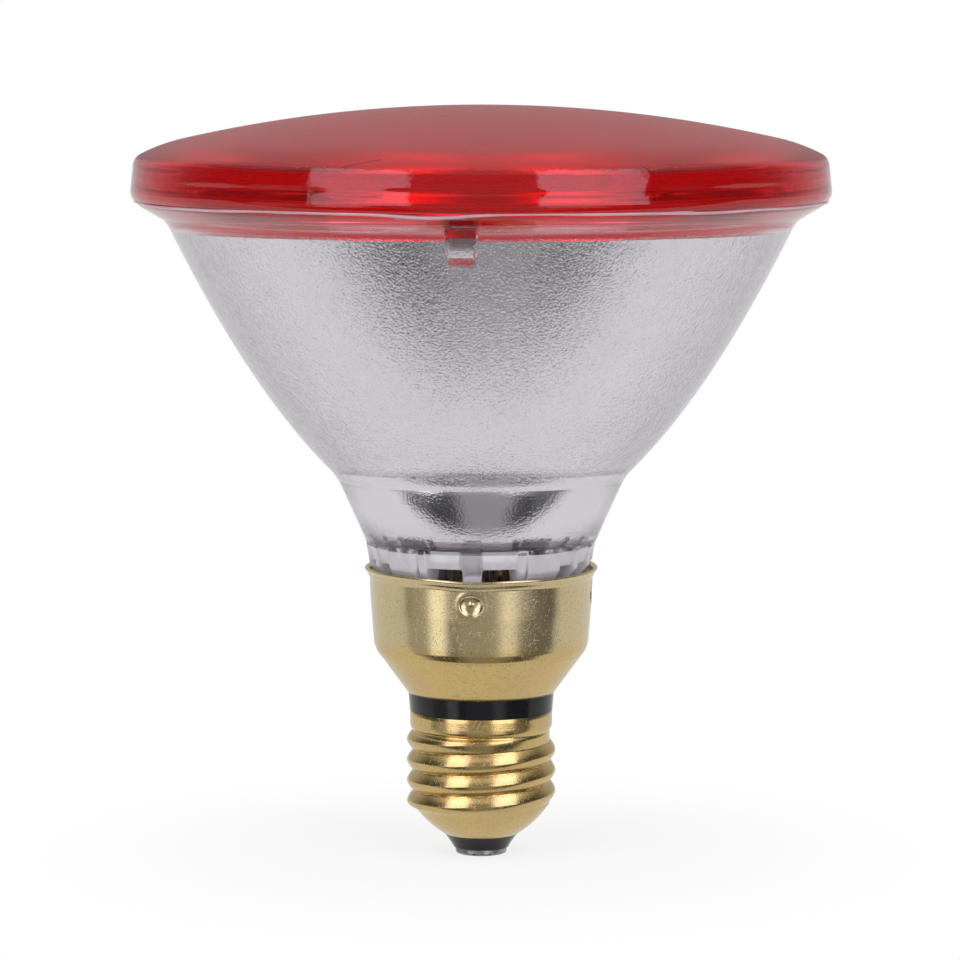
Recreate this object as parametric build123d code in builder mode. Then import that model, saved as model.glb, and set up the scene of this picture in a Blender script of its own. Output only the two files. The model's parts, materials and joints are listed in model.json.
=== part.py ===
"""Infrared reflector heat lamp: PAR38 pressed-glass bulb on a skirted E27 cap.

Millimetres. The origin is the centre contact's face and +Z runs up the lamp's axis to the lens.
-Y is the front, where the reflector's locating tab is.
"""

from build123d import *
import os
from math import cos, radians, sin, sqrt

os.makedirs("parts", exist_ok=True)

# ---------------------------------------------------------------- driving dimensions

# Cap, E27/51x39 skirted
CAP_LENGTH = 51.0
SKIRT_RADIUS = 19.5
SKIRT_LIP_RADIUS = 20.35
SHEET = 0.4
THREAD_PITCH = 3.629
THREAD_CREST_RADIUS = 13.1
THREAD_ROOT_RADIUS = 12.1

# Heights of the cap's pieces above the centre contact
CONTACT_HEIGHT = 1.1
SHELL_BOTTOM_Z = 3.6
SHELL_CONE_TOP_Z = 8.7
COLLAR_BOTTOM_Z = 22.6
COLLAR_TOP_Z = 25.6
SKIRT_BOTTOM_Z = 28.8

# Bulb, PAR38
LENS_TOP_Z = 131.5
LENS_RADIUS = 60.8
LENS_DOME_RADIUS = 235.0
LENS_THICKNESS = 3.5
SEAM_Z = 114.9
SEAL_THICKNESS = 0.4
FLANGE_RADIUS = 59.9

# Reflector: both faces of the bowl are paraboloids, r^2 = 4 f (z - vertex). Under the bowl the
# inside steepens through a bevel into a heel, a cup with a flat floor inside the neck. The heel's
# wall is an arc whose outward normal dips more and more towards its foot.
BOWL_OUTER_4F = 52.8
BOWL_OUTER_VERTEX_Z = 54.9
BOWL_INNER_4F = 49.8
BOWL_INNER_VERTEX_Z = 58.6
BOWL_TOP_RADIUS = 54.1
RIDGE_RADIUS = 25.75
NECK_FLOOR_Z = 53.9
NECK_FLOOR_RADIUS = 19.4
BEVEL_TOP_RADIUS = 23.7
HEEL_TOP = (22.1, 67.2)
HEEL_WALL_RADIUS = 48.0
HEEL_TOP_DIP = 16.5
HEEL_FOOT_DIP = 30.0
HEEL_CORNER = 1.6
MIRROR_TOP_Z = 111.0
MIRROR_THICKNESS = 0.3

# Features spaced round the axis, in degrees from +X
FRONT = -90.0
DIMPLE_AZIMUTH = FRONT - 5.0
QUADRANTS = 4
WIDE_LUG_OFFSETS = (39.0, 141.0)
RIB_OFFSETS = (26.0, 61.0, 76.0, 104.0, 119.0, 154.0)
TAB_AZIMUTH = FRONT - 3.4

# Lead-in
FERRULE_X = 9.0
FERRULE_RADIUS = 3.0
FERRULE_TOP_Z = 61.2
FERRULE_BOTTOM_Z = 52.5
EXHAUST_RADIUS = 2.5
EXHAUST_BORE_RADIUS = 1.6
THROUGH_FLOOR = 20.0
POST_RADIUS = 0.75
LEAD_RADIUS = 0.4

FOCUS_Z = BOWL_INNER_VERTEX_Z + BOWL_INNER_4F / 4


def paraboloid_radius(height, four_f, vertex_z):
    """Radius of the paraboloid at a height."""
    return sqrt(four_f * (height - vertex_z))


def paraboloid_curve(r_start, r_end, four_f, vertex_z):
    """The parabola between two radii in the XZ half-plane: exactly a quadratic Bezier curve."""
    return (
        (r_start, vertex_z + r_start**2 / four_f),
        ((r_start + r_end) / 2, vertex_z + r_start * r_end / four_f),
        (r_end, vertex_z + r_end**2 / four_f),
    )


def heel_point(distance, dip):
    """Point at a distance from the centre of the heel wall's arc, in the direction of a normal."""
    centre_radius = HEEL_TOP[0] - HEEL_WALL_RADIUS * cos(radians(HEEL_TOP_DIP))
    centre_z = HEEL_TOP[1] + HEEL_WALL_RADIUS * sin(radians(HEEL_TOP_DIP))
    return centre_radius + distance * cos(radians(dip)), centre_z - distance * sin(radians(dip))


corner_centre = heel_point(HEEL_WALL_RADIUS - HEEL_CORNER, HEEL_FOOT_DIP)
HEEL_FLOOR_Z = corner_centre[1] - HEEL_CORNER


def inside_curve(inset, top_z):
    """The inside of the reflector from the axis up to a height, or a layer's face standing off it."""
    vertex_z = BOWL_INNER_VERTEX_Z + inset
    top_radius = paraboloid_radius(top_z, BOWL_INNER_4F, vertex_z)
    floor_end = (corner_centre[0], HEEL_FLOOR_Z + inset)
    heel_floor = Line((0, HEEL_FLOOR_Z + inset), floor_end)
    CenterArc(corner_centre, HEEL_CORNER - inset, -90, 90 - HEEL_FOOT_DIP)
    wall = CenterArc(
        heel_point(0, 0), HEEL_WALL_RADIUS - inset, -HEEL_FOOT_DIP, HEEL_FOOT_DIP - HEEL_TOP_DIP
    )
    bowl = Bezier(
        *paraboloid_curve(BEVEL_TOP_RADIUS - inset / 2, top_radius, BOWL_INNER_4F, vertex_z)
    )
    Line(wall @ 1, bowl @ 0)
    return heel_floor, bowl


def finish_part(builder, label):
    """Label a finished piece and write its STEP file."""
    builder.part.label = label
    export_step(builder.part, f"parts/{label}.step")


def radial_plane(azimuth, radius, height):
    """Plane whose normal points outwards at an azimuth, with its local X round the axis."""
    out = Vector(1, 0, 0).rotate(Axis.Z, azimuth)
    around = Vector(0, 1, 0).rotate(Axis.Z, azimuth)
    return Plane(origin=out * radius + Vector(0, 0, height), x_dir=around, z_dir=out)


# ---------------------------------------------------------------- lens

LENS_BOTTOM_Z = SEAM_Z + SEAL_THICKNESS
DOME_EDGE_RADIUS = 52.0
DOME_EDGE_Z = LENS_TOP_Z - LENS_DOME_RADIUS + sqrt(LENS_DOME_RADIUS**2 - DOME_EDGE_RADIUS**2)
SHOULDER_FOOT = (59.0, 123.15)
WALL_TOP = (60.35, 121.35)
WALL_FOOT_Z = 116.9
LENS_FOOT_RADIUS = LENS_RADIUS - 0.5
LENS_SEAT_RADIUS = 53.2
INNER_WALL_TOP = (52.8, 119.2)
INNER_CORNER = (52.4, 121.0)
INNER_TOP_Z = LENS_TOP_Z - LENS_THICKNESS
INNER_DOME_RADIUS = LENS_DOME_RADIUS - LENS_THICKNESS
INNER_EDGE_RADIUS = 51.0
INNER_EDGE_Z = INNER_TOP_Z - INNER_DOME_RADIUS + sqrt(INNER_DOME_RADIUS**2 - INNER_EDGE_RADIUS**2)

with BuildPart() as lens:
    with BuildSketch(Plane.XZ):
        with BuildLine():
            dome = RadiusArc((0, LENS_TOP_Z), (DOME_EDGE_RADIUS, DOME_EDGE_Z), LENS_DOME_RADIUS)
            shoulder = TangentArc(dome @ 1, SHOULDER_FOOT, tangent=dome % 1)
            crown = TangentArc(shoulder @ 1, WALL_TOP, tangent=shoulder % 1)
            wall = Line(crown @ 1, (LENS_RADIUS, WALL_FOOT_Z))
            foot = TangentArc(wall @ 1, (LENS_FOOT_RADIUS, LENS_BOTTOM_Z), tangent=wall % 1)
            seat = Line(foot @ 1, (LENS_SEAT_RADIUS, LENS_BOTTOM_Z))
            inner_wall = Line(seat @ 1, INNER_WALL_TOP)
            inner_dome = RadiusArc(
                (0, INNER_TOP_Z), (INNER_EDGE_RADIUS, INNER_EDGE_Z), INNER_DOME_RADIUS
            )
            ThreePointArc(inner_wall @ 1, INNER_CORNER, inner_dome @ 1)
            Line(inner_dome @ 0, dome @ 0)
        make_face()
    revolve(axis=Axis.Z)
finish_part(lens, "lens")

# ---------------------------------------------------------------- seal between lens and reflector

SEAL_OUTER_RADIUS = FLANGE_RADIUS + 0.1

with BuildPart() as rim_seal:
    with BuildSketch(Plane.XY.offset(SEAM_Z)):
        Circle(SEAL_OUTER_RADIUS)
        Circle(LENS_SEAT_RADIUS, mode=Mode.SUBTRACT)
    extrude(amount=SEAL_THICKNESS)
finish_part(rim_seal, "rim_seal")

# ---------------------------------------------------------------- reflector

outer_bowl = paraboloid_curve(RIDGE_RADIUS, BOWL_TOP_RADIUS, BOWL_OUTER_4F, BOWL_OUTER_VERTEX_Z)

# Outline of the flange and the neck, as radius and height
FLANGE_EDGE = (59.65, 114.45)
FLARE_TOP = (59.2, 114.2)
FLARE_BOTTOM = (55.4, 111.95)
UNDER_FLARE = (54.55, 111.3)
NECK_TOP = (24.95, 66.2)
NECK_WAIST = (23.15, 61.6)
NECK_BOTTOM = (20.35, 56.0)
NECK_EDGE = (19.9, 54.9)

LUG_INNER_RADIUS = 15.5
LUG_OUTER_RADIUS = 19.95
LUG_TOP_Z = 55.8
LUG_ROOT_Z = NECK_FLOOR_Z + 0.5
LUG_HEEL_TOP = (19.6, 52.0)
LUG_HEEL_MIDDLE = (19.2, 50.75)
LUG_LEG_RADIUS = 18.3
LUG_HEEL_BOTTOM_Z = 50.1
LUG_BOTTOM_Z = 46.0
WIDE_LUG = 6.4
NARROW_RIB = 1.4
LUG_CORNER = 0.4
NIB_WIDTH = 3.2
NIB_RADIUS = 18.0
NIB_TOP_Z = 51.5
NIB_CORNER = 1.0
WEB_INNER_RADIUS = 13.5

TAB_TOP_Z = 113.0
TAB_BOTTOM_Z = 106.3
TAB_TOP_WIDTH = 5.4
TAB_BOTTOM_WIDTH = 4.2
TAB_FACE_RADIUS = 56.3
TAB_ROOT_RADIUS = 52.6
TAB_BEVEL = 1.7


def lug(width, azimuth):
    """A glass lug under the neck: full radius at the top, stepping in to a leg inside the skirt."""
    section = Plane(
        origin=(0, 0, 0),
        x_dir=Vector(1, 0, 0).rotate(Axis.Z, azimuth),
        z_dir=Vector(0, -1, 0).rotate(Axis.Z, azimuth),
    )
    with BuildPart() as block:
        with BuildSketch(section):
            with BuildLine():
                slope = Line((LUG_INNER_RADIUS, LUG_ROOT_Z), (LUG_LEG_RADIUS, LUG_TOP_Z))
                rim = Line(slope @ 1, (LUG_OUTER_RADIUS, LUG_TOP_Z))
                face = Line(rim @ 1, LUG_HEEL_TOP)
                heel = ThreePointArc(face @ 1, LUG_HEEL_MIDDLE, (LUG_LEG_RADIUS, LUG_HEEL_BOTTOM_Z))
                leg = Line(heel @ 1, (LUG_LEG_RADIUS, LUG_BOTTOM_Z))
                foot = Line(leg @ 1, (LUG_INNER_RADIUS, LUG_BOTTOM_Z))
                Line(foot @ 1, slope @ 0)
            make_face()
        extrude(amount=width / 2, both=True)
        upright = block.edges().filter_by(lambda e: abs(e.tangent_at(0.5).Z) > 0.9)
        outer_corners = upright.filter_by(lambda e: e.center().dot(section.x_dir) > LUG_HEEL_MIDDLE[0])
        fillet(outer_corners, LUG_CORNER)
    return block.part


def nib(azimuth):
    """The glass boss behind a dimple, on a web from the floor."""
    with BuildPart() as boss:
        with BuildSketch(radial_plane(azimuth, WEB_INNER_RADIUS, 0)):
            with Locations((0, (LUG_ROOT_Z + LUG_BOTTOM_Z) / 2)):
                Rectangle(NIB_WIDTH, LUG_ROOT_Z - LUG_BOTTOM_Z)
        extrude(amount=LUG_INNER_RADIUS - WEB_INNER_RADIUS)
        with BuildSketch(radial_plane(azimuth, LUG_INNER_RADIUS, 0)):
            with Locations((0, (NIB_TOP_Z + LUG_BOTTOM_Z) / 2)):
                RectangleRounded(NIB_WIDTH, NIB_TOP_Z - LUG_BOTTOM_Z, NIB_CORNER)
        extrude(amount=NIB_RADIUS - LUG_INNER_RADIUS)
    return boss.part


def locating_tab():
    """The trapezoid tab under the rim, bevelled at its foot."""
    with BuildPart() as tab:
        with BuildSketch(radial_plane(TAB_AZIMUTH, TAB_FACE_RADIUS, 0)):
            with BuildLine():
                Polyline(
                    (-TAB_TOP_WIDTH / 2, TAB_TOP_Z), (TAB_TOP_WIDTH / 2, TAB_TOP_Z),
                    (TAB_BOTTOM_WIDTH / 2, TAB_BOTTOM_Z), (-TAB_BOTTOM_WIDTH / 2, TAB_BOTTOM_Z),
                    close=True,
                )
            make_face()
        extrude(amount=-(TAB_FACE_RADIUS - TAB_ROOT_RADIUS))
        outward = Vector(1, 0, 0).rotate(Axis.Z, TAB_AZIMUTH)
        front_face = tab.faces().sort_by(lambda f: f.center().dot(outward))[-1]
        chamfer(front_face.edges().sort_by(Axis.Z)[0], TAB_BEVEL)
        fillet(tab.edges().filter_by(lambda e: abs(e.tangent_at(0.5).Z) > 0.9), LUG_CORNER)
    return tab.part


with BuildPart() as reflector:
    with BuildSketch(Plane.XZ):
        with BuildLine():
            heel_floor, inside = inside_curve(0, SEAM_Z)
            flange_face = Line(inside @ 1, (FLANGE_RADIUS, SEAM_Z))
            flange_edge = ThreePointArc(flange_face @ 1, FLANGE_EDGE, FLARE_TOP)
            flare = Line(flange_edge @ 1, FLARE_BOTTOM)
            bowl = Bezier(*outer_bowl)
            ThreePointArc(flare @ 1, UNDER_FLARE, bowl @ 1)
            ridge = Line(bowl @ 0, NECK_TOP)
            neck = ThreePointArc(ridge @ 1, NECK_WAIST, NECK_BOTTOM)
            Polyline(neck @ 1, NECK_EDGE, (NECK_FLOOR_RADIUS, NECK_FLOOR_Z), (0, NECK_FLOOR_Z),
                     heel_floor @ 0)
        make_face()
    revolve(axis=Axis.Z)
    # lugs and ribs stand in the skirt in mirrored sets, and a nib stands behind each dimple
    for offset in (*WIDE_LUG_OFFSETS, *RIB_OFFSETS):
        for side in (-1, 1):
            width = WIDE_LUG if offset in WIDE_LUG_OFFSETS else NARROW_RIB
            add(lug(width, DIMPLE_AZIMUTH + side * offset))
    for quadrant in range(QUADRANTS):
        add(nib(DIMPLE_AZIMUTH + 90 * quadrant))
    add(locating_tab())
    # clear the inside again where the tab's root crosses the wall
    with BuildSketch(Plane.XZ):
        with BuildLine():
            cavity_floor, cavity_side = inside_curve(0, SEAM_Z)
            Polyline(cavity_side @ 1, (0, SEAM_Z), cavity_floor @ 0)
        make_face()
    revolve(axis=Axis.Z, mode=Mode.SUBTRACT)
    # holes through the floor for the ferrules and the exhaust tube
    with Locations((-FERRULE_X, 0, NECK_FLOOR_Z), (FERRULE_X, 0, NECK_FLOOR_Z)):
        Cylinder(FERRULE_RADIUS, THROUGH_FLOOR, mode=Mode.SUBTRACT)
    with Locations((0, 0, NECK_FLOOR_Z)):
        Cylinder(EXHAUST_BORE_RADIUS, THROUGH_FLOOR, mode=Mode.SUBTRACT)
finish_part(reflector, "reflector")

# ---------------------------------------------------------------- mirror coating

MIRROR_GAP = 0.6

with BuildPart() as mirror_coating:
    with BuildSketch(Plane.XZ):
        with BuildLine():
            glass_floor, glass_side = inside_curve(0, MIRROR_TOP_Z)
            bright_floor, bright_side = inside_curve(MIRROR_THICKNESS, MIRROR_TOP_Z)
            Line(glass_side @ 1, bright_side @ 1)
            Line(glass_floor @ 0, bright_floor @ 0)
        make_face()
    revolve(axis=Axis.Z)
    # bare rings round the ferrules keep the coating from shorting them
    with Locations((-FERRULE_X, 0, HEEL_FLOOR_Z), (FERRULE_X, 0, HEEL_FLOOR_Z)):
        Cylinder(FERRULE_RADIUS + MIRROR_GAP, THROUGH_FLOOR, mode=Mode.SUBTRACT)
    with Locations((0, 0, HEEL_FLOOR_Z)):
        Cylinder(EXHAUST_BORE_RADIUS, THROUGH_FLOOR, mode=Mode.SUBTRACT)
finish_part(mirror_coating, "mirror_coating")

# ---------------------------------------------------------------- lead-in through the glass floor

FERRULE_WALL = 0.4
FERRULE_CROWN = 0.9
CLAMP_RADIUS = 1.1
POST_TOP_Z = FOCUS_Z - 0.7
CLAMP_INNER_X = 8.0
CLAMP_OUTER_X = 10.0
CLAMP_CHAMFER = 0.2
EXHAUST_STRAIGHT_Z = 46.0
EXHAUST_TIP_Z = 42.2
EXHAUST_TIP_WALL = 2.0

for side_name, side in (("left", -1), ("right", 1)):
    axis_x = side * FERRULE_X

    with BuildPart() as ferrule:
        with BuildSketch(Plane.XY.offset(FERRULE_BOTTOM_Z)):
            with Locations((axis_x, 0)):
                Circle(FERRULE_RADIUS)
        extrude(amount=FERRULE_TOP_Z - FERRULE_BOTTOM_Z)
        fillet(ferrule.faces().sort_by(Axis.Z)[-1].edges(), FERRULE_CROWN)
        with BuildSketch(Plane.XY.offset(FERRULE_BOTTOM_Z)):
            with Locations((axis_x, 0)):
                Circle(FERRULE_RADIUS - FERRULE_WALL)
        extrude(amount=FERRULE_TOP_Z - FERRULE_BOTTOM_Z - FERRULE_WALL, mode=Mode.SUBTRACT)
    finish_part(ferrule, f"ferrule_{side_name}")

    with BuildPart() as lead_post:
        with BuildSketch(Plane.XY.offset(FERRULE_TOP_Z)):
            with Locations((axis_x, 0)):
                Circle(POST_RADIUS)
        extrude(amount=POST_TOP_Z - FERRULE_TOP_Z)
    finish_part(lead_post, f"lead_post_{side_name}")

    # a crimped tube lying across the post's end, flat where it is welded to the post
    with BuildPart() as filament_clamp:
        with BuildSketch(Plane.YZ.offset(side * CLAMP_INNER_X)):
            with Locations((0, FOCUS_Z)):
                Circle(CLAMP_RADIUS)
        extrude(amount=side * (CLAMP_OUTER_X - CLAMP_INNER_X))
        split(bisect_by=Plane.XY.offset(POST_TOP_Z), keep=Keep.TOP)
        chamfer(filament_clamp.faces().sort_by(Axis.X)[0 if side < 0 else -1].edges(), CLAMP_CHAMFER)
    finish_part(filament_clamp, f"filament_clamp_{side_name}")

with BuildPart() as exhaust_tube:
    with BuildSketch(Plane.XZ):
        with BuildLine():
            tube_wall = Polyline(
                (EXHAUST_BORE_RADIUS, NECK_FLOOR_Z), (EXHAUST_RADIUS, NECK_FLOOR_Z),
                (EXHAUST_RADIUS, EXHAUST_STRAIGHT_Z),
            )
            # the end is melted shut into a drop
            tip_outside = Spline(tube_wall @ 1, (1.5, EXHAUST_TIP_Z + 1), (0, EXHAUST_TIP_Z),
                                 tangents=((0, -1), (-1, 0)))
            tip_axis = Line(tip_outside @ 1, (0, EXHAUST_TIP_Z + EXHAUST_TIP_WALL))
            tip_inside = Spline(tip_axis @ 1, (0.9, EXHAUST_TIP_Z + EXHAUST_TIP_WALL + 0.7),
                                (EXHAUST_BORE_RADIUS, EXHAUST_STRAIGHT_Z + 0.6),
                                tangents=((1, 0), (0, 1)))
            Line(tip_inside @ 1, tube_wall @ 0)
        make_face()
    revolve(axis=Axis.Z)
finish_part(exhaust_tube, "exhaust_tube")

# ---------------------------------------------------------------- filament

COIL_RADIUS = 0.8
COIL_PITCH = 0.75
COIL_TURNS = 18
WIRE_RADIUS = 0.15
KNEE_RADIUS = 0.17
coil_length = COIL_TURNS * COIL_PITCH

with BuildPart() as filament:
    with BuildLine() as coil_line:
        Helix(COIL_PITCH, coil_length, COIL_RADIUS, center=(-coil_length / 2, 0, FOCUS_Z),
              direction=(1, 0, 0))
    coil_start = coil_line.line @ 0
    coil_end = coil_line.line @ 1
    with BuildSketch(Plane(origin=coil_start, z_dir=coil_line.line % 0)):
        Circle(WIRE_RADIUS)
    sweep(path=coil_line.line, is_frenet=True)
    # a knee on each end of the coil, then a straight leg to the clamp
    for end_point, side in ((coil_start, -1), (coil_end, 1)):
        with Locations(end_point):
            Sphere(KNEE_RADIUS)
        with BuildSketch(Plane(origin=end_point, z_dir=(side, 0, 0))):
            Circle(WIRE_RADIUS)
        extrude(amount=CLAMP_INNER_X - abs(end_point.X))
finish_part(filament, "filament")

# ---------------------------------------------------------------- skirt

DIMPLE_Z = 46.6
DIMPLE_DEPTH = 0.9
DIMPLE_HALF_WIDTH = 2.2
dimple_sphere_radius = (DIMPLE_HALF_WIDTH**2 + DIMPLE_DEPTH**2) / (2 * DIMPLE_DEPTH)
dimple_centre_radius = SKIRT_RADIUS + dimple_sphere_radius - DIMPLE_DEPTH
SHOULDER_Z = 38.0
SHOULDER_MIDDLE = (18.45, 36.45)
BODY_LOWER_RADIUS = 18.83
BODY_TOP_Z = 47.0
LIP_FLARE = (19.85, 49.6)
LIP_BEAD = 0.4
CONE_TOP = (17.4, 35.0)
CONE_BOTTOM_RADIUS = 12.9


def skirt_profile(inset):
    """The skirt's outline from the cone's foot to the lip, moved in by the sheet's thickness."""
    cone = Line((CONE_BOTTOM_RADIUS - inset, SKIRT_BOTTOM_Z),
                (CONE_TOP[0] - 0.8 * inset, CONE_TOP[1] + 0.5 * inset))
    shoulder = ThreePointArc(cone @ 1, (SHOULDER_MIDDLE[0] - inset, SHOULDER_MIDDLE[1] + 0.2 * inset),
                             (BODY_LOWER_RADIUS - inset, SHOULDER_Z))
    body = Line(shoulder @ 1, (SKIRT_RADIUS - inset, BODY_TOP_Z))
    flare = Spline(body @ 1, (LIP_FLARE[0] - inset, LIP_FLARE[1]),
                   (SKIRT_LIP_RADIUS - 0.25 - inset, CAP_LENGTH),
                   tangents=(body % 1, (0.35, 1)))
    return cone, flare


with BuildPart() as skirt:
    with BuildSketch(Plane.XZ):
        with BuildLine():
            outer_cone, outer_flare = skirt_profile(0)
            inner_cone, inner_flare = skirt_profile(SHEET)
            Line(outer_cone @ 0, inner_cone @ 0)
            Line(outer_flare @ 1, inner_flare @ 1)
        make_face()
    revolve(axis=Axis.Z)
    # rolled bead on the lip
    with BuildSketch(Plane.XZ):
        with Locations((SKIRT_LIP_RADIUS - LIP_BEAD, CAP_LENGTH - LIP_BEAD)):
            Circle(LIP_BEAD)
    revolve(axis=Axis.Z)
    # the dimples' cups, then their hollows
    for quadrant in range(QUADRANTS):
        centre = radial_plane(DIMPLE_AZIMUTH + 90 * quadrant, dimple_centre_radius, DIMPLE_Z)
        cup = Sphere(dimple_sphere_radius + SHEET, mode=Mode.PRIVATE).moved(centre.location)
        inside_skirt = Cylinder(SKIRT_RADIUS - SHEET / 2, 20, mode=Mode.PRIVATE)
        add(cup & inside_skirt.moved(Location((0, 0, DIMPLE_Z))))
        add(Sphere(dimple_sphere_radius, mode=Mode.PRIVATE).moved(centre.location),
            mode=Mode.SUBTRACT)
finish_part(skirt, "skirt")

# ---------------------------------------------------------------- insulator ring

RING_LOWER_RADIUS = 12.55
RING_UPPER_RADIUS = 12.8
RING_SPIGOT_RADIUS = 11.7
RING_HOLE_RADIUS = 7.0
RING_BOTTOM_Z = 21.5
RING_TOP_Z = 30.4
RING_NECK_RADIUS = CONE_BOTTOM_RADIUS - SHEET - 0.3

with BuildPart() as insulator_ring:
    with BuildSketch(Plane.XZ):
        with BuildLine():
            Polyline(
                (RING_HOLE_RADIUS, RING_BOTTOM_Z), (RING_SPIGOT_RADIUS, RING_BOTTOM_Z),
                (RING_SPIGOT_RADIUS, COLLAR_TOP_Z), (RING_LOWER_RADIUS, COLLAR_TOP_Z),
                (RING_UPPER_RADIUS, SKIRT_BOTTOM_Z), (RING_NECK_RADIUS, SKIRT_BOTTOM_Z),
                (RING_NECK_RADIUS, RING_TOP_Z), (RING_HOLE_RADIUS, RING_TOP_Z),
                close=True,
            )
        make_face()
    revolve(axis=Axis.Z)
finish_part(insulator_ring, "insulator_ring")

# ---------------------------------------------------------------- screw shell

SHELL_BORE_RADIUS = RING_SPIGOT_RADIUS
COLLAR_RADIUS = 12.5
COLLAR_STEP = 0.5
SHELL_MOUTH_RADIUS = 6.6
MOUTH_INSIDE = (6.45, SHELL_BOTTOM_Z + 0.4)
LINING_TOP = (SHELL_BORE_RADIUS, SHELL_CONE_TOP_Z + 0.9)
TUBE_BOTTOM_Z = SHELL_CONE_TOP_Z + 0.4
CONE_BULGE = (10.4, 7.0)
CONE_BULGE_INSIDE = (10.0, 7.35)
FIRST_CREST_Z = 9.4
FIRST_CREST_AZIMUTH = 180.0
THREAD_START_AZIMUTH = 130.0
THREAD_TURNS = 3.4
RIDGE_HALF_WIDTH = 1.31
RIDGE_ROOT = 0.25

with BuildPart() as thread:
    with BuildLine() as crest_line:
        Helix(THREAD_PITCH, THREAD_PITCH * THREAD_TURNS, THREAD_ROOT_RADIUS)
    helix = crest_line.line
    with BuildSketch(Plane(origin=helix @ 0, x_dir=(1, 0, 0), z_dir=helix % 0)):
        with BuildLine():
            crest_rise = THREAD_CREST_RADIUS - THREAD_ROOT_RADIUS
            crest = ThreePointArc(
                (-RIDGE_ROOT, -RIDGE_HALF_WIDTH), (crest_rise, 0), (-RIDGE_ROOT, RIDGE_HALF_WIDTH)
            )
            Line(crest @ 1, crest @ 0)
        make_face()
    sweep(path=helix, is_frenet=True)

thread_start_z = FIRST_CREST_Z - THREAD_PITCH * (FIRST_CREST_AZIMUTH - THREAD_START_AZIMUTH) / 360

with BuildPart() as screw_shell:
    with BuildSketch(Plane.XZ):
        with BuildLine():
            tube = Polyline(
                (SHELL_BORE_RADIUS, COLLAR_TOP_Z), (COLLAR_RADIUS, COLLAR_TOP_Z),
                (COLLAR_RADIUS, COLLAR_BOTTOM_Z), (THREAD_ROOT_RADIUS, COLLAR_BOTTOM_Z - COLLAR_STEP),
                (THREAD_ROOT_RADIUS, TUBE_BOTTOM_Z),
            )
            cone = ThreePointArc(tube @ 1, CONE_BULGE, (SHELL_MOUTH_RADIUS, SHELL_BOTTOM_Z))
            mouth = Line(cone @ 1, MOUTH_INSIDE)
            lining = ThreePointArc(mouth @ 1, CONE_BULGE_INSIDE, LINING_TOP)
            Line(lining @ 1, tube @ 0)
        make_face()
    revolve(axis=Axis.Z)
    add(thread.part.rotate(Axis.Z, THREAD_START_AZIMUTH).moved(Location((0, 0, thread_start_z))))
finish_part(screw_shell, "screw_shell")

# ---------------------------------------------------------------- black glass under the shell

TIP_HOLE_RADIUS = 1.3
CONTACT_SEAT_RADIUS = 4.85
FLANK_MIDDLE = (5.35, 1.95)
DISH_MIDDLE = (6.5, 7.6)
DISH_BOTTOM_Z = 7.0

with BuildPart() as tip_insulator:
    with BuildSketch(Plane.XZ):
        with BuildLine():
            under = Line((TIP_HOLE_RADIUS, CONTACT_HEIGHT), (CONTACT_SEAT_RADIUS, CONTACT_HEIGHT))
            flank = ThreePointArc(under @ 1, FLANK_MIDDLE, (SHELL_MOUTH_RADIUS, SHELL_BOTTOM_Z))
            throat = Line(flank @ 1, MOUTH_INSIDE)
            seat_in_shell = ThreePointArc(throat @ 1, CONE_BULGE_INSIDE, LINING_TOP)
            dish = ThreePointArc(seat_in_shell @ 1, DISH_MIDDLE, (TIP_HOLE_RADIUS, DISH_BOTTOM_Z))
            Line(dish @ 1, under @ 0)
        make_face()
    revolve(axis=Axis.Z)
finish_part(tip_insulator, "tip_insulator")

# ---------------------------------------------------------------- centre contact and its solder

CONTACT_RADIUS = 4.5
CONTACT_EDGE = 0.4
SOLDER_RECESS = 0.12
SOLDER_SLOPE = (0.8, 0.2)
SOLDER_RIM_Z = 0.4

with BuildPart() as centre_contact:
    with BuildSketch():
        Circle(CONTACT_RADIUS)
        Circle(TIP_HOLE_RADIUS, mode=Mode.SUBTRACT)
    extrude(amount=CONTACT_HEIGHT)
    rim_edge = centre_contact.faces().sort_by(Axis.Z)[0].edges().sort_by(SortBy.RADIUS)[-1]
    fillet(rim_edge, CONTACT_EDGE)
finish_part(centre_contact, "centre_contact")

with BuildPart() as contact_solder:
    with BuildSketch(Plane.XZ):
        with BuildLine():
            cap = ThreePointArc((0, SOLDER_RECESS), SOLDER_SLOPE, (TIP_HOLE_RADIUS, SOLDER_RIM_Z))
            Polyline(cap @ 1, (TIP_HOLE_RADIUS, CONTACT_HEIGHT), (0, CONTACT_HEIGHT), cap @ 0)
        make_face()
    revolve(axis=Axis.Z)
finish_part(contact_solder, "contact_solder")

# ---------------------------------------------------------------- leads, fuse and sleeves

FUSE_BOTTOM_Z = 16.0
FUSE_TOP_Z = 24.0
FUSE_WIRE_RADIUS = 0.12
CAPSULE_RADIUS = 1.9
CAPSULE_BORE_RADIUS = 1.5
CAPSULE_NECK_RADIUS = 1.4
CAPSULE_CORNER = 0.5
CAPSULE_BOTTOM_Z = FUSE_BOTTOM_Z - 1.2
CAPSULE_TOP_Z = FUSE_TOP_Z + 1.2
CONTACT_LEAD_BEND = 4.0
SHELL_LEAD_BEND = 2.4
SHELL_LEAD_X = -4.5
LEAD_TOP_Z = FERRULE_TOP_Z - FERRULE_WALL
SHELL_JOINT_Z = 16.0
SHELL_JOINT_X = -11.0
SOLDER_RADIUS = 1.1
SLEEVE_RADIUS = 0.9
SLEEVE_BOTTOM_Z = 46.5
SLEEVE_TOP_Z = 60.0


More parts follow.
